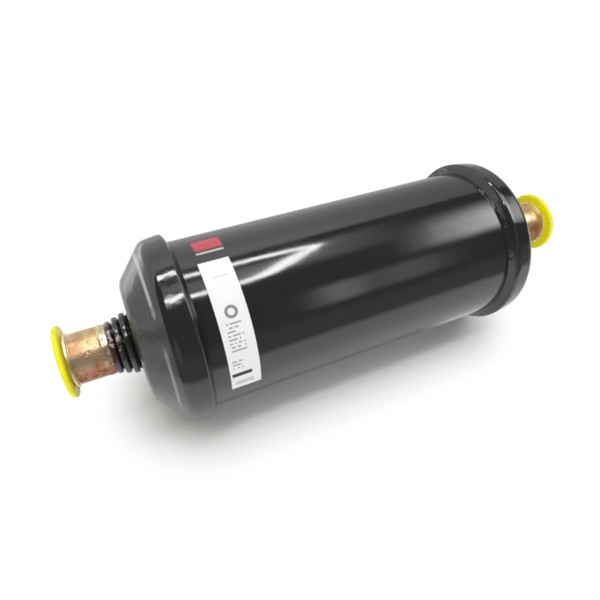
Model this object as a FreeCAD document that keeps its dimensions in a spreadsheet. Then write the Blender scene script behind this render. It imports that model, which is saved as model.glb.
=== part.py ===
"""Hermetic filter drier with solder sockets, lying with its axis along X and its inlet at -X.

A steel tube holds a moulded desiccant core between a conical spring and a filter mat on a
corrugated perforated plate. Two drawn caps close it, each with a ribbed neck that carries
a copper solder socket, and a plastic plug shuts each socket until the drier is fitted.
"""
import FreeCAD, Part
import math
import os

import Sketcher
from FreeCAD import Placement, Rotation, Vector

doc = FreeCAD.newDocument("filter_drier")

# Driving dimensions, in millimetres and degrees. "Radius" of a shell is its outer radius.
DIMENSIONS = {
    # tube and drawn end caps
    "shell_radius": 44.5,
    "shell_wall": 2.0,
    "shoulder_span": 200.0,
    "tube_setback": 4.5,
    "cap_wall": 3.4,
    "cap_fit_gap": 0.1,
    "cap_skirt_length": 11.6,
    "cap_lip_flare": 1.2,
    "cap_bell_length": 5.6,
    "dome_rise": 15.0,
    "cone_angle": 40.0,
    "shoulder_fillet": 5.5,
    "crown_fillet": 8.0,
    "lip_fillet": 1.4,
    # girth welds
    "weld_toe": 1.8,
    "weld_root": 2.1,
    "weld_crown_drop": 1.12,
    "weld_crown_radius": 9.0,
    # ribbed necks
    "neck_wall": 1.0,
    "neck_root": 1.6,
    "rib_count": 3,
    "rib_pitch": 3.8,
    "rib_width": 3.0,
    "rib_depth": 1.95,
    "rib_step": 1.15,
    "rib_fillet": 0.8,
    "collar_width": 3.2,
    "collar_thickness": 2.0,
    "neck_weld_leg": 2.4,
    "neck_weld_hollow_radius": 4.8,
    # copper solder sockets
    "tail_radius": 10.5,
    "tail_wall": 1.5,
    "tail_reach": 3.0,
    "braze_gap": 0.05,
    "socket_bore": 11.15,
    "socket_wall": 1.55,
    "socket_length": 14.4,
    "taper_length": 2.2,
    "stop_setback": 0.5,
    "groove_width": 0.9,
    "groove_depth": 0.45,
    "mouth_length": 2.7,
    "mouth_flare": 1.05,
    "mouth_lip_fillet": 0.5,
    "braze_reach": 4.0,
    "braze_height": 2.1,
    "braze_crown_radius": 4.2,
    # plastic plugs
    "plug_seat_gap": 0.2,
    "plug_stem_gap": 0.25,
    "plug_stem_narrowing": 0.3,
    "plug_stem_clear": 0.2,
    "plug_flange_radius": 18.3,
    "plug_flange_thickness": 2.7,
    "plug_wall": 1.5,
    "plug_floor": 1.3,
    "plug_flange_fillet": 0.9,
    # corrugated perforated plate
    "plate_gap": 0.2,
    "plate_thickness": 1.0,
    "plate_rim_width": 4.5,
    "plate_hub_radius": 5.0,
    "wave_count": 3,
    "wave_height": 2.4,
    "wave_flank": 1.4,
    "wave_bend_radius": 0.8,
    "hole_radius": 1.4,
    "holes_per_step": 6,
    # filter mat and desiccant core
    "mat_gap": 0.6,
    "mat_thickness": 8.0,
    "core_gap": 4.5,
    "core_bore": 9.0,
    "core_floor": 22.0,
    "core_edge_fillet": 3.0,
    "core_dish_depth": 2.5,
    "core_dish_margin": 7.0,
    # spring plate and conical spring
    "spring_plate_thickness": 1.5,
    "spring_plate_margin": 3.0,
    "spring_plate_lip": 3.5,
    "spring_boss_height": 4.0,
    "spring_boss_gap": 1.5,
    "spring_boss_fillet": 1.2,
    "flow_hole_radius": 3.2,
    "flow_hole_count": 6,
    "spring_wire_radius": 1.3,
    "spring_length": 34.5,
    "spring_turns": 4.5,
    "spring_collar_gap": 2.6,
    "spring_lip_gap": 6.2,
    # paper label
    "label_gap": 9.5,
    "label_width": 15.0,
    "label_top_angle": 78.5,
    "label_sweep_angle": 88.5,
    "label_thickness": 0.15,
}

sheet = doc.addObject("Spreadsheet::Sheet", "sizes")
for row, (alias, number) in enumerate(DIMENSIONS.items(), start=1):
    sheet.set(f"A{row}", alias)
    sheet.set(f"B{row}", str(number))
    sheet.setAlias(f"B{row}", alias)
doc.recompute()


class Size:
    """A number together with the sheet formula that gives it, so geometry stays bound to the sheet."""

    def __init__(self, formula, value):
        self.formula = formula
        self.value = value

    def joined(self, other, sign, value):
        return Size(f"({self.formula} {sign} {as_size(other).formula})", value)

    def __add__(self, other):
        return self.joined(other, "+", self.value + as_size(other).value)

    def __sub__(self, other):
        return self.joined(other, "-", self.value - as_size(other).value)

    def __mul__(self, other):
        return self.joined(other, "*", self.value * as_size(other).value)

    def __truediv__(self, other):
        return self.joined(other, "/", self.value / as_size(other).value)

    def __rsub__(self, other):
        return as_size(other) - self

    def __neg__(self):
        return as_size(0) - self


def as_size(number):
    """Passes a Size through and turns a plain number into one."""
    if isinstance(number, Size):
        return number
    return Size(repr(number), float(number))


def size(alias):
    """The sheet's cell as a Size."""
    return Size(f"sizes.{alias}", float(sheet.get(alias)))


def tangent(angle):
    """The tangent of a Size in degrees."""
    return Size(f"tan({angle.formula})", math.tan(math.radians(angle.value)))


def cosine(angle):
    """The cosine of a Size in degrees."""
    return Size(f"cos({angle.formula})", math.cos(math.radians(angle.value)))


def bind(item, prop, amount):
    """Ties one property of an object to the sheet."""
    item.setExpression(prop, as_size(amount).formula)


def new_body(label):
    """An empty body whose label names its file."""
    body = doc.addObject("PartDesign::Body", label)
    body.Label = label
    return body


def new_sketch(body, role):
    """A sketch on one of the body's own origin planes."""
    sketch = body.newObject("Sketcher::SketchObject", f"{body.Name}_sketch")
    plane = next(item for item in body.Origin.OriginFeatures if item.Role == role)
    sketch.AttachmentSupport = (plane, [""])
    sketch.MapMode = "FlatFace"
    return sketch


def arc_between(start, end, radius):
    """The arc from start to end, bulging to the right of the way for a positive radius."""
    chord = end - start
    half = chord.Length / 2
    side = Vector(-chord.y, chord.x, 0).normalize()
    rise = math.sqrt(radius**2 - half**2)
    centre = (start + end) / 2 + side * math.copysign(rise, radius)
    first, last = (start, end) if radius > 0 else (end, start)
    turns = [math.atan2(p.y - centre.y, p.x - centre.x) for p in (first, last)]
    circle = Part.Circle(centre, Vector(0, 0, 1), abs(radius))
    return Part.ArcOfCircle(circle, turns[0], turns[1])


def draw_loop(sketch, corners):
    """Draws a closed outline. A corner is (along, radius) or (along, radius, bend), where bend is the
    radius of the arc that leaves it, positive where the arc bulges to the right of the way."""
    count = len(corners)
    points = [Vector(as_size(c[0]).value, as_size(c[1]).value, 0) for c in corners]
    ends = []
    for index, corner in enumerate(corners):
        start, end = points[index], points[(index + 1) % count]
        if len(corner) == 3:
            bend = as_size(corner[2])
            edge = sketch.addGeometry(arc_between(start, end, bend.value), False)
            ends.append((1, 2) if bend.value > 0 else (2, 1))
            number = sketch.addConstraint(Sketcher.Constraint("Radius", edge, abs(bend.value)))
            formula = bend.formula if bend.value > 0 else (-bend).formula
            sketch.setExpression(f"Constraints[{number}]", formula)
        else:
            sketch.addGeometry(Part.LineSegment(start, end), False)
            ends.append((1, 2))
    for index, corner in enumerate(corners):
        following = (index + 1) % count
        sketch.addConstraint(
            Sketcher.Constraint("Coincident", index, ends[index][1], following, ends[following][0])
        )
        for kind, axis, amount in (("DistanceX", -2, corner[0]), ("DistanceY", -1, corner[1])):
            place = as_size(amount)
            where = ends[index][0]
            if place.formula == "0":
                sketch.addConstraint(Sketcher.Constraint("PointOnObject", index, where, axis))
                continue
            number = sketch.addConstraint(
                Sketcher.Constraint(kind, -1, 1, index, where, place.value)
            )
            sketch.setExpression(f"Constraints[{number}]", place.formula)


def draw_circle(sketch, across, up, radius):
    """Draws a circle whose centre and radius follow the sheet. A centre on an axis has 0 there."""
    centre = Vector(as_size(across).value, as_size(up).value, 0)
    round_edge = Part.Circle(centre, Vector(0, 0, 1), radius.value)
    edge = sketch.addGeometry(round_edge, False)
    number = sketch.addConstraint(Sketcher.Constraint("Radius", edge, radius.value))
    sketch.setExpression(f"Constraints[{number}]", radius.formula)
    for kind, axis, amount in (("DistanceX", -2, across), ("DistanceY", -1, up)):
        place = as_size(amount)
        if place.formula == "0":
            sketch.addConstraint(Sketcher.Constraint("PointOnObject", edge, 3, axis))
            continue
        number = sketch.addConstraint(Sketcher.Constraint(kind, -1, 1, edge, 3, place.value))
        sketch.setExpression(f"Constraints[{number}]", place.formula)


def revolve(body, corners):
    """Turns an outline, drawn as (along the axis, radius) corners, about the X axis."""
    sketch = new_sketch(body, "XZ_Plane")
    draw_loop(sketch, corners)
    turned = body.newObject("PartDesign::Revolution", f"{body.Name}_revolution")
    turned.Profile = sketch
    turned.ReferenceAxis = (sketch, ["H_Axis"])
    turned.Angle = 360
    sketch.Visibility = False
    doc.recompute()
    return turned


def round_edges(body, rings, radius):
    """Fillets the circular edges that lie at the given (along, radius) places."""
    base = body.Tip
    names = []
    for number, edge in enumerate(base.Shape.Edges, start=1):
        if not isinstance(edge.Curve, Part.Circle):
            continue
        place = (edge.Curve.Center.x, edge.Curve.Radius)
        if any(math.dist(place, (along.value, ring.value)) < 1e-3 for along, ring in rings):
            names.append(f"Edge{number}")
    if len(names) < len(rings):
        raise RuntimeError(f"{body.Label}: {len(rings)} rings asked for, {len(names)} edges found")
    fillet = body.newObject("PartDesign::Fillet", f"{body.Name}_fillet")
    fillet.Base = (base, names)
    bind(fillet, "Radius", radius)
    doc.recompute()
    return fillet


def pocket_ring(body, hole_radius, ring_radius, count):
    """Cuts one round hole right through along the axis and repeats it round a ring."""
    sketch = new_sketch(body, "YZ_Plane")
    draw_circle(sketch, 0, ring_radius, hole_radius)
    pocket = body.newObject("PartDesign::Pocket", f"{body.Name}_hole")
    pocket.Profile = sketch
    pocket.Type = "ThroughAll"
    pocket.Midplane = True
    sketch.Visibility = False
    doc.recompute()
    pattern = body.newObject("PartDesign::PolarPattern", f"{body.Name}_ring")
    pattern.Originals = [pocket]
    pattern.Axis = (sketch, ["N_Axis"])
    pattern.Angle = 360
    bind(pattern, "Occurrences", count)
    body.Tip = pattern
    doc.recompute()
    return pattern


# Places that several pieces share. "Along" is measured from the middle of the drier, outward.
half_span = size("shoulder_span") / 2
shell_inside = size("shell_radius") - size("shell_wall")
skirt_inside = size("shell_radius") + size("cap_fit_gap")
skirt_outside = skirt_inside + size("cap_wall")
cone_slope = tangent(size("cone_angle"))
cone_shift = size("cap_wall") / cosine(size("cone_angle"))
tube_end = half_span - size("tube_setback")
lip_along = half_span - size("cap_skirt_length")
lip_outside = skirt_outside + size("cap_lip_flare")
lip_inside = skirt_inside + size("cap_lip_flare")
crown_along = half_span + size("dome_rise")
crown_inside = crown_along - size("cap_wall")
neck_bore = size("tail_radius") + size("braze_gap")
smallest_rib = neck_bore + size("neck_wall") + size("rib_depth")
largest_rib = smallest_rib + size("rib_step") * (size("rib_count") - 1)
barrel_radius = largest_rib - size("rib_depth")
ribs_start = crown_along + size("neck_root")
neck_end = ribs_start + size("rib_pitch") * (size("rib_count") - 1) + size("rib_width")
collar_radius = barrel_radius + size("collar_width")
socket_outside = size("socket_bore") + size("socket_wall")
socket_start = neck_end + size("taper_length") + size("stop_setback")
socket_end = socket_start + size("socket_length")
mouth_end = socket_end + size("mouth_length")
mouth_bore = size("socket_bore") + size("mouth_flare")
mouth_outside = socket_outside + size("mouth_flare")

# The stack inside, from the outlet cap's cone back to the inlet cap's crown.
plate_radius = shell_inside - size("plate_gap")
cone_at_plate = half_span + (skirt_outside - plate_radius) * cone_slope - cone_shift
plate_face = cone_at_plate - size("plate_thickness")
mat_face = plate_face - size("wave_height")
core_face = mat_face - size("mat_thickness")
core_radius = shell_inside - size("core_gap")
spring_face = crown_inside - size("spring_length")
core_back = spring_face - size("spring_plate_thickness")
core_length = core_back + core_face
spring_plate_rim = core_radius - size("spring_plate_margin")
spring_plate_inside = spring_plate_rim - size("spring_plate_thickness")
spring_large = spring_plate_inside - size("spring_lip_gap") - size("spring_wire_radius")
spring_small = collar_radius + size("spring_collar_gap") + size("spring_wire_radius")

END_TURN = {
    "outlet": Placement(),
    "inlet": Placement(Vector(0, 0, 0), Rotation(Vector(0, 0, 1), 180)),
}


def end_body(end, name):
    """A body drawn outward along +X and turned about Z for the inlet end."""
    body = new_body(f"{end}_{name}")
    body.Placement = END_TURN[end]
    return body


def shell_tube():
    """Rolled and seamed steel tube between the caps."""
    body = new_body("shell_tube")
    length = tube_end * 2
    revolve(body, [
        (0, shell_inside),
        (length, shell_inside),
        (length, size("shell_radius")),
        (0, size("shell_radius")),
    ])
    bind(body, "Placement.Base.x", -tube_end)


def end_cap(end):
    """Drawn steel cap: a skirt belled over the tube, a coned shoulder and a flat crown."""
    body = end_body(end, "end_cap")
    hole = barrel_radius + size("cap_fit_gap")
    bell_start = lip_along + size("cap_bell_length")
    crown_edge = skirt_outside - size("dome_rise") / cone_slope
    inner_rise = size("dome_rise") - size("cap_wall") + cone_shift
    inner_corner = half_span + (skirt_outside - skirt_inside) * cone_slope - cone_shift
    inner_crown_edge = skirt_outside - inner_rise / cone_slope
    crest_along = lip_along + size("lip_fillet")
    revolve(body, [
        (lip_along, lip_inside),
        (lip_along, lip_outside),
        (crest_along + size("lip_fillet"), lip_outside),
        (half_span, skirt_outside),
        (crown_along, crown_edge),
        (crown_along, hole),
        (crown_inside, hole),
        (crown_inside, inner_crown_edge),
        (inner_corner, skirt_inside),
        (bell_start, skirt_inside),
    ])
    round_edges(body, [(half_span, skirt_outside)], size("shoulder_fillet"))
    round_edges(body, [(crown_along, crown_edge)], size("crown_fillet"))
    round_edges(body, [(inner_corner, skirt_inside)], size("shoulder_fillet") - size("cap_wall"))
    round_edges(body, [(crown_inside, inner_crown_edge)], size("crown_fillet") - size("cap_wall"))
    round_edges(body, [(lip_along, lip_outside)], size("lip_fillet"))


def girth_weld(end):
    """Weld bead that fills the belled lip and ramps down to the tube."""
    body = end_body(end, "girth_weld")
    root_along = lip_along + size("weld_root")
    flare_slope = size("cap_lip_flare") / size("cap_bell_length")
    root_radius = lip_inside - size("weld_root") * flare_slope
    bead_top = lip_outside - size("weld_crown_drop")
    revolve(body, [
        (lip_along - size("weld_toe"), size("shell_radius")),
        (root_along, size("shell_radius")),
        (root_along, root_radius),
        (lip_along, lip_inside),
        (lip_along, bead_top, size("weld_crown_radius")),
    ])


def neck(end):
    """Turned steel neck, held in the crown by an inner collar, with ribs that grow towards it."""
    body = end_body(end, "neck")
    count = int(size("rib_count").value)
    corners = [
        (crown_inside - size("collar_thickness"), neck_bore),
        (neck_end, neck_bore),
    ]
    rings = []
    for number in range(count):
        start = ribs_start + size("rib_pitch") * (count - 1 - number)
        stop = start + size("rib_width")
        top = smallest_rib + size("rib_step") * number
        floor = top - size("rib_depth")
        if number > 0:
            corners.append((stop, floor))
        corners += [(stop, top), (start, top)]
        rings += [(stop, top), (start, top)]
        corners.append((start, floor))
    corners += [
        (crown_inside, barrel_radius),
        (crown_inside, collar_radius),
        (crown_inside - size("collar_thickness"), collar_radius),
    ]
    revolve(body, corners)
    round_edges(body, rings, size("rib_fillet"))


def neck_weld(end):
    """Fillet bead round the neck where it leaves the crown."""
    body = end_body(end, "neck_weld")
    leg = size("neck_weld_leg")
    revolve(body, [
        (crown_along, barrel_radius),
        (crown_along, barrel_radius + leg, -size("neck_weld_hollow_radius")),
        (crown_along + size("neck_root"), barrel_radius),
    ])


def spigot(end):
    """Copper solder socket: a tail brazed into the neck, a tube stop, and a flared mouth."""
    body = end_body(end, "spigot")
    tail_start = crown_inside - size("collar_thickness") - size("tail_reach")
    tail_bore = size("tail_radius") - size("tail_wall")
    groove_end = socket_end + size("groove_width")
    revolve(body, [
        (tail_start, tail_bore),
        (neck_end + size("stop_setback"), tail_bore),
        (socket_start, size("socket_bore")),
        (socket_end, size("socket_bore")),
        (socket_end, mouth_bore),
        (mouth_end, mouth_bore),
        (mouth_end, mouth_outside),
        (groove_end, mouth_outside),
        (groove_end, socket_outside - size("groove_depth")),
        (socket_end, socket_outside - size("groove_depth")),
        (socket_end, socket_outside),
        (neck_end + size("taper_length"), socket_outside),
        (neck_end, size("tail_radius")),
        (tail_start, size("tail_radius")),
    ])
    round_edges(body, [(mouth_end, mouth_outside), (groove_end, mouth_outside)], size("mouth_lip_fillet"))


def braze_ring(end):
    """Pale braze bead in the corner between the neck's end and the widening copper."""
    body = end_body(end, "braze_ring")
    revolve(body, [
        (neck_end, size("tail_radius")),
        (neck_end + size("taper_length"), socket_outside),
        (neck_end + size("braze_reach"), socket_outside, size("braze_crown_radius")),
        (neck_end, size("tail_radius") + size("braze_height")),
    ])


def plug(end):
    """Moulded plug: a thick flange and a short tapered cup that sits in the socket's mouth."""
    body = end_body(end, "plug")
    flange_start = mouth_end + size("plug_seat_gap")
    flange_end = flange_start + size("plug_flange_thickness")
    stem_end = socket_end + size("plug_stem_clear")
    stem_root = mouth_bore - size("plug_stem_gap")
    stem_tip = stem_root - size("plug_stem_narrowing")
    revolve(body, [
        (stem_end, 0),
        (stem_end + size("plug_floor"), 0),
        (stem_end + size("plug_floor"), stem_tip - size("plug_wall")),
        (flange_end, stem_root - size("plug_wall")),
        (flange_end, size("plug_flange_radius")),
        (flange_start, size("plug_flange_radius")),
        (flange_start, stem_root),
        (stem_end, stem_tip),
    ])
    rims = [(flange_start, size("plug_flange_radius")), (flange_end, size("plug_flange_radius"))]
    round_edges(body, rims, size("plug_flange_fillet"))


def perforated_plate():
    """Pressed plate with ring-shaped flat-topped waves and a ring of holes in each flat."""
    body = new_body("perforated_plate")
    half_waves = int(size("wave_count").value) * 2
    thick = size("plate_thickness")
    inner = size("plate_hub_radius")
    step = (plate_radius - size("plate_rim_width") - inner) / half_waves
    front, back = [(0, 0)], [(thick, 0)]
    level = as_size(0)
    for number in range(half_waves):
        foot = inner + step * number
        following = size("wave_height") if number % 2 == 0 else as_size(0)
        for height, ring in ((level, foot), (following, foot + size("wave_flank"))):
            front.append((height, ring))
            back.append((height + thick, ring))
        level = following
    front.append((0, plate_radius))
    back.append((thick, plate_radius))
    revolve(body, front + back[::-1])
    round_edges(body, front[1:-1] + back[1:-1], size("wave_bend_radius"))
    for number in range(half_waves - 1):
        ring = inner + step * number + (step + size("wave_flank")) / 2
        pocket_ring(body, size("hole_radius"), ring, size("holes_per_step") * (number + 1))
    body.Placement.Rotation = Rotation(Vector(0, 0, 1), 180)
    bind(body, "Placement.Base.x", cone_at_plate)


def filter_mat():
    """Round pad of pressed polyester felt between the core and the perforated plate."""
    body = new_body("filter_mat")
    sketch = new_sketch(body, "YZ_Plane")
    draw_circle(sketch, 0, 0, shell_inside - size("mat_gap"))
    pad = body.newObject("PartDesign::Pad", "filter_mat_pad")
    pad.Profile = sketch
    bind(pad, "Length", size("mat_thickness"))
    sketch.Visibility = False
    bind(body, "Placement.Base.x", core_face)


def desiccant_core():
    """Moulded block with a blind bore that opens at the outlet and a dished inlet end."""
    body = new_body("desiccant_core")
    dish_edge = core_radius - size("core_dish_margin")
    revolve(body, [
        (size("core_dish_depth"), 0),
        (size("core_floor"), 0),
        (size("core_floor") + size("core_bore") / 2, size("core_bore")),
        (core_length, size("core_bore")),
        (core_length, core_radius),
        (0, core_radius),
        (0, dish_edge),
        (size("core_dish_depth"), dish_edge - size("core_dish_depth")),
    ])
    rims = [(as_size(0), core_radius), (core_length, core_radius)]
    round_edges(body, rims, size("core_edge_fillet"))
    bind(body, "Placement.Base.x", -core_back)


def spring_plate():
    """Pressed plate that spreads the spring's load on the core, with a boss inside the spring."""
    body = end_body("inlet", "spring_plate")
    body.Label = "spring_plate"
    boss = spring_large - size("spring_wire_radius") - size("spring_boss_gap")
    thick = size("spring_plate_thickness")
    boss_top = spring_face + size("spring_boss_height")
    revolve(body, [
        (core_back, boss - thick),
        (core_back, spring_plate_rim),
        (spring_face + size("spring_plate_lip"), spring_plate_rim),
        (spring_face + size("spring_plate_lip"), spring_plate_inside),
        (spring_face, spring_plate_inside),
        (spring_face, boss),
        (boss_top, boss),
        (boss_top, 0),
        (boss_top - thick, 0),
        (boss_top - thick, boss - thick),
    ])
    round_edges(body, [(boss_top, boss)], size("spring_boss_fillet"))
    pocket_ring(body, size("flow_hole_radius"), boss / 2, size("flow_hole_count"))


def core_spring():
    """Conical compression spring with ground ends, wide on the spring plate, narrow on the crown."""
    body = end_body("inlet", "core_spring")
    body.Label = "core_spring"
    wire_across = size("spring_wire_radius") * 2
    sketch = new_sketch(body, "XZ_Plane")
    draw_circle(sketch, spring_face, spring_large, size("spring_wire_radius"))
    helix = body.newObject("PartDesign::AdditiveHelix", "core_spring_coil")
    helix.Profile = sketch
    helix.ReferenceAxis = (sketch, ["H_Axis"])
    helix.Mode = "height-turns-growth"
    bind(helix, "Height", size("spring_length"))
    bind(helix, "Turns", size("spring_turns"))
    bind(helix, "Growth", (spring_small - spring_large) / size("spring_turns"))
    sketch.Visibility = False
    doc.recompute()
    for start in (spring_face - wire_across, crown_inside):
        stop = start + wire_across
        reach = spring_large + wire_across
        trim = new_sketch(body, "XZ_Plane")
        draw_loop(trim, [(start, 0), (stop, 0), (stop, reach), (start, reach)])
        cut = body.newObject("PartDesign::Groove", "core_spring_ground_end")
        cut.Profile = trim
        cut.ReferenceAxis = (trim, ["H_Axis"])
        cut.Angle = 360
        trim.Visibility = False
        doc.recompute()


def label():
    """Paper label wrapped round the front of the tube beside the inlet cap."""
    paper = doc.addObject("Part::Cylinder", "label_outer")
    bind(paper, "Radius", size("shell_radius") + size("label_thickness"))
    bind(paper, "Height", size("label_width"))
    bind(paper, "Angle", size("label_sweep_angle"))
    backing = doc.addObject("Part::Cylinder", "label_backing")
    bind(backing, "Radius", size("shell_radius"))
    bind(backing, "Height", size("label_width"))
    cut = doc.addObject("Part::Cut", "label")
    cut.Base = paper
    cut.Tool = backing
    along_axis = Rotation(Vector(0, 1, 0), 90)
    up_to_top_edge = Rotation(Vector(1, 0, 0), -90 - size("label_top_angle").value)
    cut.Placement = Placement(Vector(0, 0, 0), up_to_top_edge * along_axis)
    bind(cut, "Placement.Base.x", size("label_gap") - lip_along)
    doc.recompute()


shell_tube()
for end in END_TURN:
    end_cap(end)
    girth_weld(end)
    neck(end)
    neck_weld(end)
    spigot(end)
    braze_ring(end)
    plug(end)
perforated_plate()
filter_mat()
desiccant_core()
spring_plate()
core_spring()
label()
doc.recompute()

pieces = [item for item in doc.Objects if item.TypeId == "PartDesign::Body" or item.Name == "label"]
for item in doc.Objects:
    if "Invalid" in item.State or "Error" in item.State:
        raise RuntimeError(f"{item.Label} failed: {item.State}")
for piece in pieces:
    if piece.Shape.isNull() or not piece.Shape.isValid() or len(piece.Shape.Solids) != 1:
        raise RuntimeError(f"{piece.Label} is not one sound solid")

os.makedirs("parts", exist_ok=True)
for piece in pieces:
    piece.Shape.exportStep(f"parts/{piece.Label}.step")
    box = piece.Shape.BoundBox
    print(
        f"{piece.Label}: x {box.XMin:.2f} to {box.XMax:.2f}, radius {box.ZMax:.2f},"
        f" {piece.Shape.Volume / 1000:.1f} cm3"
    )
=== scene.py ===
"""Filter drier: black enamelled steel cylinder with ribbed necks, copper sockets and yellow plugs."""
import math

import bmesh
import bpy
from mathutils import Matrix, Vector


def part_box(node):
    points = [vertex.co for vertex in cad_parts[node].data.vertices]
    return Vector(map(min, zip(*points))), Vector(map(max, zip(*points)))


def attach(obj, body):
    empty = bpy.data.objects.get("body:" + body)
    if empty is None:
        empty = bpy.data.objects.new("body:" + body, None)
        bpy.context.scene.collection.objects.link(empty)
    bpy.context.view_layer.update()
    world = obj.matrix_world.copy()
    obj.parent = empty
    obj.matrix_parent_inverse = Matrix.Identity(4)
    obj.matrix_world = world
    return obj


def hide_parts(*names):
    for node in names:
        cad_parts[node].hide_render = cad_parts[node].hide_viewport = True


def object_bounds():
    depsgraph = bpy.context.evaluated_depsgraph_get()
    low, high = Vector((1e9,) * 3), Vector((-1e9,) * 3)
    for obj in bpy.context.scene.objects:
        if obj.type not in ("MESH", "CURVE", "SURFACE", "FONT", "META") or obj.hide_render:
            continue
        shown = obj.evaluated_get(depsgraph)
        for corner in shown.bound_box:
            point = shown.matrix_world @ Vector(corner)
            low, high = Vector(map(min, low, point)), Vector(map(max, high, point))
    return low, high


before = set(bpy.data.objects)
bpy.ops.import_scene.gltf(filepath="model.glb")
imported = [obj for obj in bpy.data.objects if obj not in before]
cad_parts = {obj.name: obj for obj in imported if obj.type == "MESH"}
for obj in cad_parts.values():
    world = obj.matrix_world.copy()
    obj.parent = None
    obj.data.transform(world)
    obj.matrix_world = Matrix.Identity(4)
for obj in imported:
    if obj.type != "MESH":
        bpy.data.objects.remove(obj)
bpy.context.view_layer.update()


# Shell tube. A rolled and seam-welded steel tube, sprayed with black gloss enamel once the caps are
# welded on. Its cut ends sit inside the caps. A plain colour field is printed on the enamel.
MM = 0.001
near = 0.01 * MM
smooth_below = math.radians(28)
tube_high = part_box("shell_tube")[1]
tube_radius = tube_high.z
tube_end = tube_high.x
tube_wall = 2.0 * MM


def select_ring(piece, along, radius):
    """Selects the edges of one ring of a turned piece in edit mode."""
    mesh = bmesh.from_edit_mesh(piece.data)
    bpy.ops.mesh.select_all(action="DESELECT")
    for edge in mesh.edges:
        edge.select = all(
            abs(v.co.x - along) < near and abs(math.hypot(v.co.y, v.co.z) - radius) < near
            for v in edge.verts
        )
    bmesh.update_edit_mesh(piece.data)


def turned(name, rings, closed=True, around=256, segments=6):
    """A turned piece: a circle is drawn out and widened from ring to ring, then its corners are rounded.
    A ring is (along, radius) or (along, radius, rounding). A closed outline ends where it began."""
    bpy.ops.object.select_all(action="DESELECT")
    along, radius = rings[0][:2]
    bpy.ops.mesh.primitive_circle_add(
        vertices=around, radius=radius, location=(along, 0, 0), rotation=(0, math.pi / 2, 0)
    )
    piece = bpy.context.object
    piece.name = piece.data.name = name
    bpy.ops.object.transform_apply(location=True, rotation=True, scale=True)
    bpy.ops.object.mode_set(mode="EDIT")
    bpy.ops.mesh.select_mode(type="EDGE")
    bpy.ops.mesh.select_all(action="SELECT")
    for ring in rings[1:]:
        bpy.ops.mesh.extrude_region_move(TRANSFORM_OT_translate={"value": (ring[0] - along, 0, 0)})
        growth = ring[1] / radius
        bpy.ops.transform.resize(value=(1, growth, growth), center_override=(ring[0], 0, 0))
        along, radius = ring[:2]
    if closed:
        mesh = bmesh.from_edit_mesh(piece.data)
        for edge in mesh.edges:
            edge.select = edge.is_boundary
        bmesh.update_edit_mesh(piece.data)
        bpy.ops.mesh.bridge_edge_loops()
    else:
        for end in (rings[0], rings[-1]):
            select_ring(piece, *end[:2])
            bpy.ops.mesh.edge_face_add()
    bpy.ops.mesh.select_all(action="SELECT")
    bpy.ops.mesh.normals_make_consistent(inside=False)
    count = len(rings)
    for number, ring in enumerate(rings):
        if len(ring) == 3:
            here = Vector(ring[:2])
            before = here - Vector(rings[number - 1][:2])
            after = Vector(rings[(number + 1) % count][:2]) - here
            tangent = ring[2] * math.tan(before.angle(after) / 2)
            select_ring(piece, *ring[:2])
            bpy.ops.mesh.bevel(offset=tangent, offset_type="OFFSET", segments=segments, affect="EDGES")
    bpy.ops.object.mode_set(mode="OBJECT")
    bpy.ops.object.shade_smooth_by_angle(angle=smooth_below)
    bpy.ops.object.modifier_add(type="WEIGHTED_NORMAL")
    piece.modifiers[-1].keep_sharp = True
    bpy.ops.object.modifier_apply(modifier=piece.modifiers[-1].name)
    return piece


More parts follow.
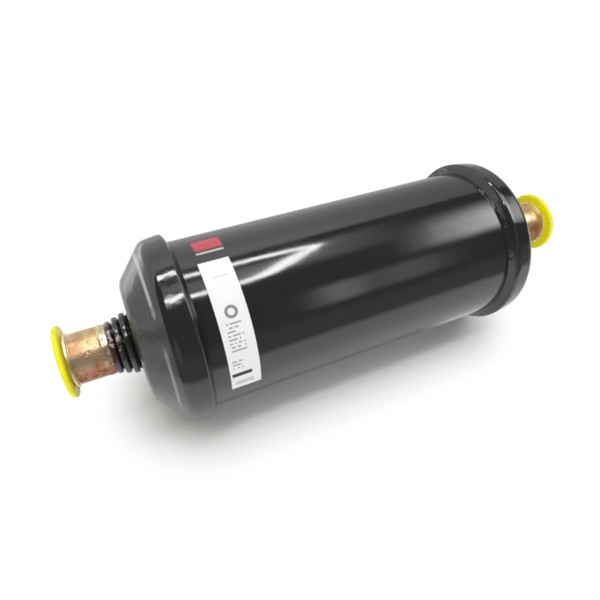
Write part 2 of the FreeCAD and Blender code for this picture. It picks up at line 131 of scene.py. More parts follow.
class Value:
    """One output in a finish's node tree. Arithmetic on it adds Math nodes."""

    def __init__(self, tree, socket=None):
        self.tree = tree
        self.socket = socket

    def add(self, kind, settings=None, sockets=None, output=0):
        """Adds a node: its settings come first, then the values or links of its sockets."""
        node = self.tree.nodes.new(kind)
        for name, setting in (settings or {}).items():
            setattr(node, name, setting)
        self.feed(node, sockets or {})
        return Value(self.tree, node.outputs[output])

    def feed(self, node, sockets):
        """Sets or links a node's sockets."""
        for name, value in sockets.items():
            if isinstance(value, Value):
                self.tree.links.new(value.socket, node.inputs[name])
            else:
                node.inputs[name].default_value = value

    def maths(self, operation, *values):
        """A Math node on these values."""
        return self.add("ShaderNodeMath", {"operation": operation}, dict(enumerate(values)))

    def __add__(self, other):
        return self.maths("ADD", self, other)

    def __sub__(self, other):
        return self.maths("SUBTRACT", self, other)

    def __rsub__(self, other):
        return self.maths("SUBTRACT", other, self)

    def __mul__(self, other):
        return self.maths("MULTIPLY", self, other)

    def __truediv__(self, other):
        return self.maths("DIVIDE", self, other)

    def __neg__(self):
        return self.maths("MULTIPLY", self, -1)

    def __abs__(self):
        return self.maths("ABSOLUTE", self)

    __radd__ = __add__
    __rmul__ = __mul__

    def ramp(self, low, high):
        """0 below low and 1 above high, with a soft step between."""
        return self.add(
            "ShaderNodeMapRange",
            {"interpolation_type": "SMOOTHSTEP"},
            {"Value": self, "From Min": low, "From Max": high},
        )

    def within(self, low, high, soft):
        """1 between low and high, with soft borders."""
        return self.ramp(low - soft, low + soft) * (1 - self.ramp(high - soft, high + soft))

    def axes(self):
        """The three parts of a vector."""
        parts = self.add("ShaderNodeSeparateXYZ", sockets={"Vector": self})
        node = parts.socket.node
        return [Value(self.tree, node.outputs[number]) for number in range(3)]

    def turn(self):
        """The angle of this place or way about the drier's axis, up from the front, in degrees."""
        along, across, up = self.axes()
        return up.maths("ARCTAN2", up, -across) * (180 / math.pi)

    def noise(self, scale, detail=2.0, roughness=0.5, stretch=(1, 1, 1)):
        """Fractal noise on this place, 0 to 1. Scale is in features a metre."""
        placed = self.add("ShaderNodeMapping", sockets={"Vector": self, "Scale": stretch})
        return self.add(
            "ShaderNodeTexNoise",
            sockets={"Vector": placed, "Scale": scale, "Detail": detail, "Roughness": roughness},
        )

    def mix(self, low, high):
        """The colour low where this is 0 and high where it is 1."""
        colours = [c if isinstance(c, Value) else (*c, 1) for c in (low, high)]
        return self.add(
            "ShaderNodeMix",
            {"data_type": "RGBA"},
            {0: self, 6: colours[0], 7: colours[1]},
            output=2,
        )

    def glow(self):
        """White light of this strength."""
        white = self.add(
            "ShaderNodeVectorMath", {"operation": "SCALE"}, {"Vector": (1, 1, 1), "Scale": self}
        )
        return self.add("ShaderNodeEmission", sockets={"Color": white})

    def bump(self, distance, under=None):
        """A Bump node of this height, which may lie over another one."""
        sockets = {"Height": self, "Distance": distance, "Strength": 1.0}
        if under:
            sockets["Normal"] = under
        return self.add("ShaderNodeBump", sockets=sockets)


def new_finish(name):
    """An empty finish: its material, its shader node and the place on the part."""
    material = bpy.data.materials.new(name)
    material.use_nodes = True
    tree = material.node_tree
    place = Value(tree).add("ShaderNodeTexCoord", output="Object")
    return material, tree.nodes["Principled BSDF"], place


def dress(piece, material, body, node):
    """Gives a piece its finish, its body and the CAD node that it stands for."""
    piece.data.materials.clear()
    piece.data.materials.append(material)
    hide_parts(node)
    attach(piece, body)


enamel_black = (0.020, 0.020, 0.021)
enamel_ior = 1.7
dust_grey = (0.060, 0.058, 0.055)
peel_height = 0.006 * MM
peel_scale = 850


def enamel(name, wave_height, wave_scale, marks=None):
    """Black gloss enamel: orange peel, waves of the steel below and a little dust. What a piece has on top,
    such as print or wear, comes from marks, which takes the place, colour and roughness."""
    material, shader, place = new_finish(name)
    smudge = place.noise(28, 3, 0.6)
    dust = place.noise(900, 2, 0.7).ramp(0.66, 0.80) * smudge.ramp(0.40, 0.65)
    colour = (dust * 0.5).mix(enamel_black, dust_grey)
    rough = 0.09 + smudge.ramp(0.35, 0.75) * 0.06 + dust * 0.2
    if marks:
        colour, rough = marks(place, colour, rough)
    peel = place.noise(peel_scale, 1, 0.4).bump(peel_height)
    waves = place.noise(wave_scale, 2, 0.5).bump(wave_height, under=peel)
    place.feed(shader, {
        "Base Color": colour, "Roughness": rough, "Normal": waves, "IOR": enamel_ior,
    })
    return material


field_red = (0.58, 0.045, 0.065)
field_pale = (0.55, 0.55, 0.54)
field_span = (-77.5 * MM, -63.8 * MM)
field_turns = (89.6, 101.5)
stripe_span = (-77.5 * MM, -64.0 * MM)
stripe_turns = (86.0, 87.9)


def mark(place, span, turns, soft=0.1 * MM, soft_turn=0.2):
    """1 inside a printed rectangle, given by its span along the drier and its turns up from the front."""
    return place.axes()[0].within(*span, soft) * place.turn().within(*turns, soft_turn)


def printed_field(place, colour, rough):
    """A plain red field with a pale stripe under it."""
    field = mark(place, field_span, field_turns, soft=0.4 * MM, soft_turn=0.5)
    stripe = mark(place, stripe_span, stripe_turns, soft=0.4 * MM, soft_turn=0.4)
    return stripe.mix(field.mix(colour, field_red), field_pale), rough


tube = turned("tube_shell", [
    (-tube_end, tube_radius - tube_wall),
    (tube_end, tube_radius - tube_wall),
    (tube_end, tube_radius),
    (-tube_end, tube_radius),
])
tube_enamel = enamel("printed_enamel", wave_height=0.10 * MM, wave_scale=45, marks=printed_field)
dress(tube, tube_enamel, "housing", "shell_tube")


# Drawn end caps. Each is pressed from one steel disc: a skirt belled over the tube, a rounded shoulder,
# a cone and a flat crown with a hole for the neck. A painted highlight runs grey along the shoulder's rim.
cap_low, cap_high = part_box("outlet_end_cap")
lip_along = cap_low.x
lip_radius = cap_high.z
crown_along = cap_high.x
cap_wall = 3.4 * MM
cap_gap = 0.1 * MM
lip_flare = 1.2 * MM
lip_rounding = 1.4 * MM
lip_inner_rounding = 0.4 * MM
bell_length = 5.6 * MM
bell_rounding = 6 * MM
shoulder_along = 100 * MM
shoulder_rounding = 5.5 * MM
cone_angle = math.radians(40)
crown_rounding = 8 * MM
barrel_radius = 13.85 * MM
skirt_radius = lip_radius - lip_flare
skirt_inside = skirt_radius - cap_wall
cone_shift = cap_wall / math.cos(cone_angle)
crown_edge = skirt_radius - (crown_along - shoulder_along) / math.tan(cone_angle)
inner_rise = crown_along - shoulder_along - cap_wall + cone_shift
inner_corner = shoulder_along + cap_wall * math.tan(cone_angle) - cone_shift
# Grey of the painted highlight along the shoulder's rim, and where along the drier it lies.
rim_highlight_grey = (0.44, 0.435, 0.42)
rim_highlight_start = 103.45 * MM
rim_highlight_stop = 104.65 * MM
rim_highlight_soft = 0.45 * MM


def pick(piece):
    """Makes a piece the only one selected, and the active one."""
    bpy.ops.object.select_all(action="DESELECT")
    piece.select_set(True)
    bpy.context.view_layer.objects.active = piece


def at_both_ends(piece):
    """Copies a piece of the outlet end, each copy with its own mesh, and turns it to the inlet end."""
    pick(piece)
    bpy.ops.object.duplicate()
    twin = bpy.context.object
    twin.name = twin.data.name = piece.name.replace("outlet", "inlet")
    twin.rotation_euler = (0, 0, math.pi)
    bpy.ops.object.transform_apply(location=True, rotation=True, scale=True)
    return {"outlet": piece, "inlet": twin}


def painted_rim_highlight(place, colour, rough):
    """A painted highlight, grey along the shoulder's rim, stronger on top, with a gap in front and small
    breaks.
    """
    turn = place.turn()
    painted_rim_light = abs(place.axes()[0]).within(rim_highlight_start, rim_highlight_stop, rim_highlight_soft)
    # Painted highlight: stronger on top and left out in front, as the light falls.
    rim_highlight = painted_rim_light * (1 - turn.within(33, 54, 4)) * (0.45 + turn.ramp(30, 60) * 0.55)
    rim_highlight = rim_highlight * place.noise(60, 3, 0.6).ramp(0.28, 0.50)
    return (rim_highlight * 0.9).mix(colour, rim_highlight_grey), rough + rim_highlight * 0.15


cap = turned("cap_outlet", [
    (lip_along, skirt_inside + lip_flare, lip_inner_rounding),
    (lip_along, lip_radius, lip_rounding),
    (lip_along + lip_rounding * 2, lip_radius, bell_rounding),
    (shoulder_along, skirt_radius, shoulder_rounding),
    (crown_along, crown_edge, crown_rounding),
    (crown_along, barrel_radius + cap_gap),
    (crown_along - cap_wall, barrel_radius + cap_gap),
    (crown_along - cap_wall, skirt_radius - inner_rise / math.tan(cone_angle), crown_rounding - cap_wall),
    (inner_corner, skirt_inside, shoulder_rounding - cap_wall),
    (lip_along + bell_length, skirt_inside),
], segments=8)
cap_enamel = enamel("cap_enamel", wave_height=0.30 * MM, wave_scale=100, marks=painted_rim_highlight)
for end, piece in at_both_ends(cap).items():
    dress(piece, cap_enamel, "housing", f"{end}_end_cap")


# Girth welds. A bead runs all round in the step between each cap's lip and the tube, and the enamel
# lies over it. Its surface keeps the small uneven ripples of the welding run.
weld_low, weld_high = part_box("outlet_girth_weld")
weld_toe = weld_low.x
weld_root = weld_high.x
weld_top = 48.0 * MM
root_radius = skirt_inside + lip_flare * (1 - (weld_root - lip_along) / bell_length)
knee_back = 0.6 * MM
knee_drop = 0.95 * MM
knee_rounding = 2 * MM
foot_back = 1.2 * MM
foot_drop = 2.2 * MM
foot_rounding = 3 * MM
ripple_height = 0.18 * MM
ripple_size = 1.6 * MM


def roughen(piece, height, size):
    """Moves the surface in by clouds of the given height and size."""
    clouds = bpy.data.textures.new(piece.name, "CLOUDS")
    clouds.noise_scale = size
    clouds.noise_depth = 1
    pick(piece)
    bpy.ops.object.modifier_add(type="DISPLACE")
    moved = piece.modifiers[-1]
    moved.texture = clouds
    moved.texture_coords = "LOCAL"
    moved.strength = height
    moved.mid_level = 1.0
    bpy.ops.object.modifier_apply(modifier=moved.name)


weld = turned("girth_bead_outlet", [
    (weld_toe, tube_radius),
    (weld_root, tube_radius),
    (weld_root, root_radius),
    (lip_along, skirt_inside + lip_flare),
    (lip_along, weld_top),
    (lip_along - knee_back, weld_top - knee_drop, knee_rounding),
    (lip_along - foot_back, weld_top - foot_drop, foot_rounding),
], around=384, segments=4)
roughen(weld, ripple_height, ripple_size)
weld_enamel = enamel("weld_enamel", wave_height=0.28 * MM, wave_scale=330)
for end, piece in at_both_ends(weld).items():
    dress(piece, weld_enamel, "housing", f"{end}_girth_weld")


# Ribbed necks. A short turned steel barrel passes through the crown, held inside by a collar. Three
# ribs, each larger than the last towards the dome, spread the heat when the copper is brazed in.
neck_low, neck_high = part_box("outlet_neck")
neck_end = neck_high.x
neck_bore = 10.55 * MM
collar_radius = neck_high.z
collar_start = neck_low.x
collar_end = crown_along - cap_wall
rib_count = 3
rib_pitch = 3.8 * MM
rib_width = 3.0 * MM
rib_depth = 1.95 * MM
rib_step = 1.15 * MM
rib_rounding = 1.1 * MM
heated_brown = (0.050, 0.012, 0.012)
# White of the specks on the ribs: partly flux, partly painted glints.
flux_and_glint_white = (0.55, 0.52, 0.46)
heated_along = neck_end - 2.6 * MM
heated_fade = 2 * MM
flux_and_glint_reach = 5.5 * MM
neck_rings = [(collar_start, neck_bore), (neck_end, neck_bore)]
for number in range(rib_count):
    rib_end = neck_end - rib_pitch * number
    rib_start = rib_end - rib_width
    rib_top = barrel_radius + rib_depth - rib_step * (rib_count - 1 - number)
    if number:
        neck_rings.append((rib_end, rib_top - rib_depth))
    neck_rings += [
        (rib_end, rib_top, rib_rounding),
        (rib_start, rib_top, rib_rounding),
        (rib_start, rib_top - rib_depth),
    ]
neck_rings += [(collar_end, barrel_radius), (collar_end, collar_radius), (collar_start, collar_radius)]


def heated_and_glinting_ribs(place, colour, rough):
    """Enamel browned by the brazing heat next to the copper, with white specks on top that are partly flux
    and partly painted glints.
    """
    along, across, up = place.axes()
    browned = abs(along).ramp(heated_along - heated_fade, heated_along)
    # White specks, partly flux and partly painted glints, kept to the top of the ribs where the light falls.
    flux_and_glints = (place.noise(330, 2, 0.5) + up.ramp(0, 14 * MM) * 0.13).ramp(0.63, 0.80)
    flux_and_glints = flux_and_glints * abs(along).ramp(heated_along - flux_and_glint_reach, heated_along - heated_fade)
    flux_and_glints = flux_and_glints * up.ramp(1 * MM, 6 * MM)
    colour = (browned * 0.8).mix(colour, heated_brown)
    return (flux_and_glints * 0.8).mix(colour, flux_and_glint_white), rough + 0.08 + flux_and_glints * 0.25


neck = turned("neck_outlet", neck_rings, around=160, segments=5)
neck_enamel = enamel("neck_enamel", wave_height=0.10 * MM, wave_scale=200, marks=heated_and_glinting_ribs)
for end, piece in at_both_ends(neck).items():
    dress(piece, neck_enamel, "housing", f"{end}_neck")


# Neck welds. A small hollow fillet of weld joins each neck to its crown, under the same enamel.
# It is as uneven as the girth bead.
fillet_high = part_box("outlet_neck_weld")[1]
fillet_top = fillet_high.z
fillet_end = fillet_high.x
hollow_out = 0.35 * MM
hollow_drop = 1.1 * MM
toe_out = 0.9 * MM
toe_drop = 1.9 * MM
fillet_rounding = 1 * MM
fillet_ripple_height = 0.12 * MM
fillet_ripple_size = 1.2 * MM
fillet = turned("neck_bead_outlet", [
    (crown_along, barrel_radius),
    (crown_along, fillet_top),
    (crown_along + hollow_out, fillet_top - hollow_drop, fillet_rounding),
    (crown_along + toe_out, fillet_top - toe_drop, fillet_rounding),
    (fillet_end, barrel_radius),
], around=256, segments=3)
roughen(fillet, fillet_ripple_height, fillet_ripple_size)
for end, piece in at_both_ends(fillet).items():
    dress(piece, weld_enamel, "housing", f"{end}_neck_weld")


# Copper sockets. Each is a drawn copper tube, brazed into the neck and expanded to take the line's
# pipe. A rolled groove stands behind the flared mouth. Handling left dents and a little tarnish.
spigot_low, spigot_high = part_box("outlet_spigot")
tail_start = spigot_low.x
mouth_end = spigot_high.x
mouth_radius = spigot_high.z
copper_wall = 1.5 * MM
tail_radius = 10.5 * MM
socket_bore = 11.15 * MM
socket_radius = 12.7 * MM
taper = 2.2 * MM
stop_setback = 0.5 * MM
mouth_length = 2.7 * MM
mouth_bore = 12.2 * MM
groove_width = 0.9 * MM
groove_depth = 0.45 * MM
groove_rounding = 0.2 * MM
bend_rounding = 1 * MM
mouth_inner_rounding = 0.3 * MM
mouth_outer_rounding = 0.6 * MM
mouth_back_rounding = 0.5 * MM
socket_end = mouth_end - mouth_length
heat_start = neck_end + 6 * MM
heat_stop = neck_end + 16 * MM
# Where the painted reflection of the yellow plug on the mouth's rim begins and is full.
mouth_reflection_start = socket_end + 0.5 * MM
mouth_reflection_full = socket_end + 0.9 * MM
score_depth = 0.015 * MM
dent_depth = 0.10 * MM
copper_bright = (0.81, 0.565, 0.40)
copper_brown = (0.44, 0.205, 0.11)
# Straw colour of the heat tint near the neck and of the painted sheen on top.
copper_straw = (0.80, 0.62, 0.32)
# Colour of the painted reflection of the yellow plug on the mouth's rim.
copper_mouth_reflection = (0.97, 0.83, 0.58)
copper_spot = (0.16, 0.08, 0.05)


def copper_finish():
    """Drawn copper: draw marks along it, a straw tint on top, partly heat tint near the neck and partly a
    painted sheen, a painted reflection of the yellow plug on the mouth's rim, and brown tarnish and
    dark dents, both with painted shade that makes them stronger on its underside."""
    material, shader, place = new_finish("drawn_copper")
    along, across, up = place.axes()
    tarnish = place.noise(120, 4, 0.6)
    # A straw tint on top: heat tint near the neck, and a painted sheen on the top side.
    heat_tint_and_sheen = (1 - abs(along).ramp(heat_start, heat_stop) * 0.6) * up.ramp(3 * MM, 10 * MM)
    # Painted reflection of the yellow plug on the mouth's rim.
    painted_rim_light = abs(along).ramp(mouth_reflection_start, mouth_reflection_full)
    # Painted shade: tarnish and dents grow darker towards the underside.
    low = 1 - up.ramp(-5 * MM, 9 * MM)
    draw_marks = place.noise(260, 3, 0.6, stretch=(0.12, 4, 4))
    dents = (place.noise(420, 2, 0.5) + low * 0.07).ramp(0.60, 0.70) * (1 - painted_rim_light * 0.6)
    colour = (tarnish + low * 0.30).ramp(0.38, 0.68).mix(copper_bright, copper_brown)
    colour = (heat_tint_and_sheen * 0.55).mix(colour, copper_straw)
    colour = (painted_rim_light * 0.9).mix(colour, copper_mouth_reflection)
    colour = (dents * (0.20 + low * 0.7)).mix(colour, copper_spot)
    scored = draw_marks.bump(score_depth)
    dented = (1 - dents).bump(dent_depth, under=scored)
    place.feed(shader, {
        "Base Color": colour, "Metallic": 1.0, "Normal": dented,
        "Roughness": 0.36 + tarnish.ramp(0.35, 0.75) * 0.14,
    })
    return material


spigot = turned("socket_outlet", [
    (tail_start, tail_radius - copper_wall),
    (neck_end + stop_setback, tail_radius - copper_wall),
    (neck_end + stop_setback + taper, socket_bore, bend_rounding),
    (socket_end, socket_bore),
    (socket_end, mouth_bore),
    (mouth_end, mouth_bore, mouth_inner_rounding),
    (mouth_end, mouth_radius, mouth_outer_rounding),
    (socket_end + groove_width, mouth_radius, mouth_back_rounding),
    (socket_end + groove_width, socket_radius - groove_depth, groove_rounding),
    (socket_end, socket_radius - groove_depth, groove_rounding),
    (socket_end, socket_radius, groove_rounding),
    (neck_end + taper, socket_radius, bend_rounding),
    (neck_end, tail_radius),
    (tail_start, tail_radius),
], around=192, segments=4)
copper = copper_finish()
for end, piece in at_both_ends(spigot).items():
    dress(piece, copper, "housing", f"{end}_spigot")


# Braze rings. Pale silver-brass alloy ran into the corner between the neck and the copper and set
# there as an uneven bead.
braze_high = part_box("outlet_braze_ring")[1]
braze_end = braze_high.x
crest_along = neck_end + 3 * MM
crest_height = 0.28 * MM
swell_along = neck_end + 1.4 * MM
swell_height = 0.22 * MM
braze_foot = 2.1 * MM
braze_rounding = 1 * MM
braze_ripple_height = 0.14 * MM
braze_ripple_size = 1.5 * MM
braze_pale = (0.83, 0.68, 0.46)
braze_dull = (0.36, 0.20, 0.12)


def braze_finish():
    """Set braze alloy, dull brown in random patches where flux burnt on, and duller towards the bottom."""
    material, shader, place = new_finish("braze_bead")
    low = 1 - place.axes()[2].ramp(-3 * MM, 5 * MM)
    # Duller and browner in random patches, and more so towards the bottom.
    dulled = (place.noise(500, 3, 0.6) + low * 0.45).ramp(0.45, 0.72)
    place.feed(shader, {
        "Base Color": dulled.mix(braze_pale, braze_dull), "Metallic": 1.0,
        "Roughness": 0.28 + dulled * 0.25,
        "Normal": place.noise(900, 2, 0.5).bump(0.03 * MM),
    })
    return material


ring = turned("braze_outlet", [
    (neck_end, tail_radius),
    (neck_end + taper, socket_radius),
    (braze_end, socket_radius),
    (crest_along, socket_radius + crest_height, braze_rounding),
    (swell_along, socket_radius + swell_height, braze_rounding),
    (neck_end, tail_radius + braze_foot),
], around=256, segments=4)
roughen(ring, braze_ripple_height, braze_ripple_size)
braze = braze_finish()
for end, piece in at_both_ends(ring).items():
    dress(piece, braze, "housing", f"{end}_braze_ring")


# Transport plugs. Each is one soft polyethylene moulding: a thick flange and a short tapered cup that
# sits in the socket's mouth until the drier is fitted. It is open at the outer end.
plug_low, plug_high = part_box("outlet_plug")
stem_end = plug_low.x
flange_end = plug_high.x
flange_radius = plug_high.z
flange_thickness = 2.7 * MM
stem_clearance = 0.25 * MM
stem_taper = 0.3 * MM
plug_wall = 1.5 * MM
plug_floor = 1.3 * MM
flange_rounding = 1.0 * MM
stem_rounding = 0.4 * MM
root_rounding = 0.2 * MM
cup_rounding = 0.5 * MM
flange_start = flange_end - flange_thickness
stem_root = mouth_bore - stem_clearance
stem_tip = stem_root - stem_taper
plastic_yellow = (0.95, 0.89, 0.010)
plastic_deep = (0.88, 0.74, 0.008)


def plastic_finish():
    """Yellow polyethylene: slightly waxy, with a fine eroded mould texture and a few scuffs."""
    material, shader, place = new_finish("yellow_polyethylene")
    scuffs = place.noise(350, 4, 0.65).ramp(0.60, 0.78)
    tint = place.noise(60, 2, 0.5).ramp(0.35, 0.75)
    grain = place.noise(1800, 1, 0.5).bump(0.01 * MM)
    place.feed(shader, {
        "Base Color": (tint * 0.4).mix(plastic_yellow, plastic_deep),
        "Roughness": 0.38 + scuffs * 0.2, "Specular IOR Level": 0.35,
        "Subsurface Weight": 0.6, "Subsurface Radius": (1.0, 0.85, 0.12), "Subsurface Scale": 2.6 * MM,
        "Normal": scuffs.bump(0.02 * MM, under=grain),
    })
    return material


plug = turned("plug_outlet", [
    (stem_end, stem_tip, stem_rounding),
    (flange_start, stem_root, root_rounding),
    (flange_start, flange_radius, flange_rounding),
    (flange_end, flange_radius, flange_rounding),
    (flange_end, stem_root - plug_wall, cup_rounding),
    (stem_end + plug_floor, stem_tip - plug_wall, cup_rounding),
], closed=False, around=192, segments=5)
plastic = plastic_finish()
for end, piece in at_both_ends(plug).items():
    dress(piece, plastic, f"{end}_plug", f"{end}_plug")


# Paper label. White coated paper wrapped round the front of the tube. Its print is kept to plain
# shapes: a faint pink line, a ring, two blocks of dashes, a bar and two thin lines.
label_low, label_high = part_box("label")
paper_thickness = 0.15 * MM
label_radius = tube_radius + paper_thickness
label_start_turn = -10.0
label_stop_turn = 78.5
circle_along = -71.6 * MM
circle_turn = 44
circle_inner = 1.7 * MM
circle_outer = 3.1 * MM
circle_soft = 0.25 * MM
dash_length = 0.9 * MM
dash_turn = 2.4
upper_dashes = (-76.0 * MM, -68.5 * MM), (19.2, 38.4)
lower_dashes = (-77.0 * MM, -72.0 * MM), (7.2, 14.4)
upper_line = (-76.8 * MM, -67.6 * MM), (-4.4, -3.5)
lower_line = (-76.8 * MM, -67.6 * MM), (-6.2, -5.3)
dark_bar = (-78.0 * MM, -68.2 * MM), (1.3, 4.1)
pink_line = (-74.4 * MM, -66.9 * MM), (65.9, 66.9)
paper_white = (0.92, 0.92, 0.925)
paper_fibre = (0.78, 0.78, 0.77)
print_grey = (0.22, 0.22, 0.23)
print_black = (0.02, 0.02, 0.02)
print_pink = (0.75, 0.45, 0.50)


def paper_finish():
    """Coated paper with plain printed marks. The dashes are cells of a grid, left out by chance."""
    material, shader, place = new_finish("printed_paper")
    along = place.axes()[0]
    turn = place.turn()
    off = along - circle_along
    above = (turn - circle_turn) * (math.pi / 180) * label_radius
    away = along.maths("SQRT", off * off + above * above)
    circle = away.within(circle_inner, circle_outer, circle_soft)
    cell = along.maths("FLOOR", along / dash_length)
    row = turn.maths("FLOOR", turn / dash_turn)
    spot = along.add("ShaderNodeCombineXYZ", sockets={"X": cell, "Y": row})
    chance = along.add("ShaderNodeTexWhiteNoise", sockets={"Vector": spot})
    dashes = chance.ramp(0.22, 0.26) * (turn / dash_turn - row).within(0.25, 0.70, 0.08)
    dashes = dashes * (mark(place, *upper_dashes) + mark(place, *lower_dashes))
    lines = mark(place, *upper_line) + mark(place, *lower_line)
    fibre = place.noise(2200, 3, 0.6)
    colour = (fibre * 0.12).mix(paper_white, paper_fibre)
    colour = (mark(place, *pink_line, soft=0.15 * MM) * 0.5).mix(colour, print_pink)
    colour = (circle * 0.95 + dashes * 0.75 + lines * 0.8).mix(colour, print_grey)
    colour = mark(place, *dark_bar, soft_turn=0.15).mix(colour, print_black)
    place.feed(shader, {
        "Base Color": colour, "Roughness": 0.42 + fibre * 0.1,
        "Normal": place.noise(300, 3, 0.5).bump(0.012 * MM),
    })
    return material


bpy.ops.object.select_all(action="DESELECT")
bpy.ops.mesh.primitive_cylinder_add(
    vertices=360, radius=label_radius, depth=label_high.x - label_low.x, end_fill_type="NOTHING",
    location=((label_low.x + label_high.x) / 2, 0, 0), rotation=(0, math.pi / 2, 0),
)
label = bpy.context.object
label.name = label.data.name = "paper_label"
bpy.ops.object.transform_apply(location=True, rotation=True, scale=True)
bpy.ops.object.mode_set(mode="EDIT")
for turn, side in ((label_start_turn, 1), (label_stop_turn, -1)):
    angle = math.radians(turn)
    bpy.ops.mesh.select_all(action="SELECT")
    bpy.ops.mesh.bisect(
        plane_co=(0, 0, 0), plane_no=(0, side * math.sin(angle), side * math.cos(angle)), clear_inner=True
    )
bpy.ops.mesh.select_all(action="SELECT")
bpy.ops.mesh.normals_make_consistent(inside=False)
bpy.ops.object.mode_set(mode="OBJECT")
bpy.ops.object.modifier_add(type="SOLIDIFY")
label.modifiers[-1].thickness = paper_thickness
label.modifiers[-1].offset = -1
bpy.ops.object.modifier_apply(modifier=label.modifiers[-1].name)
bpy.ops.object.shade_smooth_by_angle(angle=smooth_below)
dress(label, paper_finish(), "housing", "label")


# Filter stack. The corrugated perforated plate, the felt mat, the moulded core, its spring plate and
# the conical spring lie sealed inside. They keep their own meshes and get the finish of each stuff.
steel_dark = (0.62, 0.62, 0.60)
steel_bright = (0.74, 0.74, 0.73)
felt_dark = (0.70, 0.69, 0.64)
felt_bright = (0.88, 0.87, 0.84)
bead_bright = (0.78, 0.73, 0.64)
bead_dark = (0.55, 0.50, 0.42)


def plated_steel():
    """Zinc plate with a faint spangle."""
    material, shader, place = new_finish("plated_steel")
    spangle = place.noise(180, 3, 0.6)
    place.feed(shader, {
        "Base Color": spangle.mix(steel_dark, steel_bright), "Metallic": 1.0,
        "Roughness": 0.30 + spangle * 0.15, "Normal": place.noise(1200, 2, 0.5).bump(0.01 * MM),
    })
    return material


def felt():
    """Pressed polyester strands."""
    material, shader, place = new_finish("polyester_felt")
    strands = place.noise(1500, 4, 0.7)
    place.feed(shader, {
        "Base Color": strands.mix(felt_dark, felt_bright), "Roughness": 0.95,
        "Normal": strands.bump(0.15 * MM),
    })
    return material


def moulded_core():
    """Desiccant beads bound to one porous block."""
    material, shader, place = new_finish("moulded_core")
    beads = place.add("ShaderNodeTexVoronoi", sockets={"Vector": place, "Scale": 700.0})
    place.feed(shader, {
        "Base Color": beads.ramp(0.2, 0.7).mix(bead_bright, bead_dark), "Roughness": 0.9,
        "Normal": (1 - beads).bump(0.25 * MM),
    })
    return material


steel = plated_steel()
for node, material in {
    "perforated_plate": steel, "spring_plate": steel, "core_spring": steel,
    "filter_mat": felt(), "desiccant_core": moulded_core(),
}.items():
    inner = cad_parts[node]
    inner.data.materials.clear()
    inner.data.materials.append(material)


# White table. The drier lies on its side on a plain white sheet, which fades into a white background
# and keeps the soft shadow. Values are in metres from the middle of the drier.
bpy.context.view_layer.update()
floor_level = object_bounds()[0].z
sheet_side = 1.5
sheet_front = -0.205
sheet_white = (0.90, 0.875, 0.835, 1)
shade_left = -0.080
shade_right = 0.066
shade_start = 0.027
shade_end = 0.068
shade_lift = 0.03
right_start = 0.05
right_end = 0.085
right_white = 0.85
behind_gain = -0.32
back_left_gain = 0.9
far_left_gain = -0.5
front_fade = 0.07
front_dark = 0.18
front_nearer = 0.115
bpy.ops.object.select_all(action="DESELECT")
bpy.ops.mesh.primitive_plane_add(size=1, location=(0, (sheet_side + sheet_front) / 2, floor_level))
floor = bpy.context.object
floor.name = "white_sheet"
floor.scale = (2 * sheet_side, sheet_side - sheet_front, 1)
bpy.ops.object.transform_apply(location=True, rotation=True, scale=True)


def sheet_finish():
    """White sheet. A few centimetres from the drier it turns to pure white, for the eye and in gloss.
    Gloss shows that white darker behind, far left and at the front edge, and brighter behind at the left."""
    material, shader, place = new_finish("white_sheet")
    place.feed(shader, {"Base Color": sheet_white, "Roughness": 0.7, "Specular IOR Level": 0.2})
    along, across, up = place.axes()
    past_end = along.maths("MAXIMUM", along - shade_right, shade_left - along)
    beyond = past_end.maths("MAXIMUM", past_end, 0)
    away = place.maths("SQRT", beyond * beyond + across * across)
    path = place.add("ShaderNodeLightPath").socket.node.outputs
    glossy = Value(place.tree, path["Is Glossy Ray"])
    seen = Value(place.tree, path["Is Camera Ray"]) + glossy
    whiteness = shade_lift + away.ramp(shade_start, shade_end) * (1 - shade_lift)
    at_right = glossy * along.ramp(right_start, right_end) * right_white
    whiteness = whiteness + at_right * (1 - whiteness)
    behind = across.ramp(0.06, 0.25) * along.ramp(-0.35, -0.15)
    back_left = across.ramp(0.12, 0.40) * (1 - along.ramp(-0.30, -0.10))
    far_left = (1 - along.ramp(-0.80, -0.25)) * (1 - across.ramp(0.25, 0.60))
    bright = 1 + behind * behind_gain + back_left * back_left_gain + far_left * far_left_gain
    front_edge = across - (1 - along.ramp(-0.21, -0.15)) * front_nearer
    front = front_edge.ramp(sheet_front, sheet_front + front_fade)
    bright = bright * (front_dark + front * (1 - front_dark))
    mixed = place.add("ShaderNodeMixShader", sockets={
        0: seen * whiteness,
        1: Value(place.tree, shader.outputs[0]),
        2: (1 + glossy * (bright - 1)).glow(),
    })
    end = place.tree.nodes["Material Output"]
    place.tree.links.new(mixed.socket, end.inputs["Surface"])
    return material


floor.data.materials.append(sheet_finish())


# Room and lamps. A bright wall stands behind the drier, a window high at the right, and in front two
# narrow cards at the right and a bright panel at the left. The ceiling is dark but for a ring-shaped
# lamp, open at the left, with a haze in it and beside it.
wall_light = 0.74
wall_dim = 0.30
wall_top_light = 0.36
wall_edge = 0.455
dark_light = 0.05
window_light = 5.6
card_light = 1.35
fill_light = 7.0
fill_in_gloss = 0.03
ring_haze = 1.1
beside_light = 0.9
table_light = 0.18
tiny = 0.0001

world = bpy.data.worlds.new("room")
bpy.context.scene.world = world
world.use_nodes = True
tree = world.node_tree
way = Value(tree).add("ShaderNodeTexCoord", output="Generated")
path = way.add("ShaderNodeLightPath").socket.node.outputs
camera_ray = Value(tree, path["Is Camera Ray"])
glossy_ray = Value(tree, path["Is Glossy Ray"])

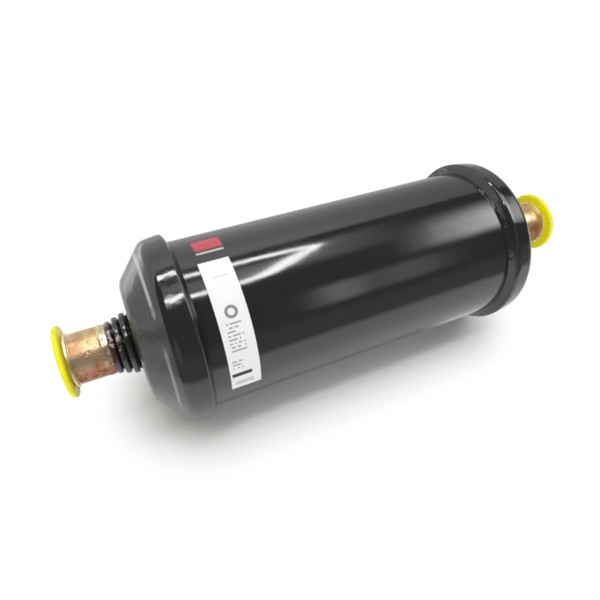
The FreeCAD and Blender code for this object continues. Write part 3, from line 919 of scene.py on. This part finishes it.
# Right, back and up are the parts of a ray's way. Rise is 0 in front, 90 above and 180 behind.
right, back, up = way.axes()
rise = way.turn()
behind = back / (way.maths("SQRT", back * back + up * up) + tiny)
left_part = 1 - right.ramp(0.25, 0.70)
wall = behind.ramp(wall_edge - 0.03, wall_edge + 0.03) * (
    wall_light - wall_dim + wall_dim * left_part
    + (1 - behind.ramp(0.55, 0.78)) * left_part * wall_top_light
)
window = right.ramp(0.50, 0.70) * (1 - right.ramp(0.72, 0.80) * 0.5) * (1 - right.ramp(0.88, 0.94))
window = window * rise.ramp(44, 59) * (1 - rise.ramp(72, 104)) * window_light
cards = right.within(0.345, 0.435, 0.03) + right.within(0.47, 0.57, 0.04) * 0.55
cards = cards * rise.within(15, 40, 5) * card_light
fill = (1 - right.ramp(-0.32, -0.22)) * up.within(0.03, 0.40, 0.03) * (1 - back.ramp(-0.62, -0.54))
fill = fill * (1 - glossy_ray * (1 - fill_in_gloss)) * fill_light
inside_ring = right.within(-0.22, 0.33, 0.03) * rise.within(83, 96, 3) * ring_haze
beside_ring = right.ramp(0.30, 0.36) * (1 - right.ramp(0.36, 0.56)) * rise.within(77, 105, 6) * beside_light
table = (1 - rise.ramp(-2, 12)) * table_light
room = dark_light + wall + window + cards + fill + inside_ring + beside_ring + table
way.feed(tree.nodes["Background"], {
    "Color": (1, 1, 1, 1),
    "Strength": camera_ray + (1 - camera_ray) * room,
})

lamp_height = 1.5
ring_line = [
    (-0.56, 0.42, 1.5), (-0.36, 0.42, 1.5), (-0.08, 0.41, 1.1), (0.12, 0.40, 1), (0.26, 0.39, 1),
    (0.38, 0.35, 1), (0.48, 0.31, 0.9), (0.56, 0.22, 0.6), (0.515, 0.13, 0.7), (0.455, -0.02, 1),
    (0.40, -0.20, 1), (0.33, -0.35, 1), (0.22, -0.39, 1), (0.06, -0.34, 1), (-0.14, -0.36, 1.3),
    (-0.36, -0.38, 1.5), (-0.66, -0.38, 1.5),
]
ring_thickness = 0.055
ring_glow = 10.4
ring_gleam = 15.5


def lamp_glow(name):
    """Light of the ring lamp. Gloss shows it a little brighter than it lights, as an exposed film would."""
    material = bpy.data.materials.new(name)
    material.use_nodes = True
    tree = material.node_tree
    tree.nodes.remove(tree.nodes["Principled BSDF"])
    glossy = Value(tree, Value(tree).add("ShaderNodeLightPath").socket.node.outputs["Is Glossy Ray"])
    light = (ring_glow + glossy * (ring_gleam - ring_glow)).glow()
    tree.links.new(light.socket, tree.nodes["Material Output"].inputs["Surface"])
    return material


line = bpy.data.curves.new("ring_lamp", "CURVE")
line.dimensions = "3D"
spline = line.splines.new("NURBS")
spline.points.add(len(ring_line) - 1)
for point, (x, y, swell) in zip(spline.points, ring_line):
    point.co = (x, y, lamp_height, 1)
    point.radius = swell
spline.use_endpoint_u = True
spline.order_u = 3
line.bevel_depth = ring_thickness
ring_lamp = bpy.data.objects.new("ring_lamp", line)
bpy.context.scene.collection.objects.link(ring_lamp)
line.materials.append(lamp_glow("ring_glow"))
ring_lamp.visible_camera = False


# Camera. It stands close in front of the inlet end and looks down on the drier, as in the photograph.
camera_place = (-0.110567, -0.191006, 0.182934)
camera_pitch = 42.062
camera_yaw = 24.724
focal_pixels = 489.98
photo_pixels = 600
sensor = 36.0
nearest = 0.01
lens = bpy.data.cameras.new("camera")
lens.sensor_width = sensor
lens.lens = sensor * focal_pixels / photo_pixels
lens.clip_start = nearest
camera = bpy.data.objects.new("camera", lens)
bpy.context.scene.collection.objects.link(camera)
camera.location = camera_place
camera.rotation_euler = (math.radians(90 - camera_pitch), 0, math.radians(-camera_yaw))
bpy.context.scene.camera = camera
bpy.context.scene.view_settings.view_transform = "Standard"

bpy.context.view_layer.update()
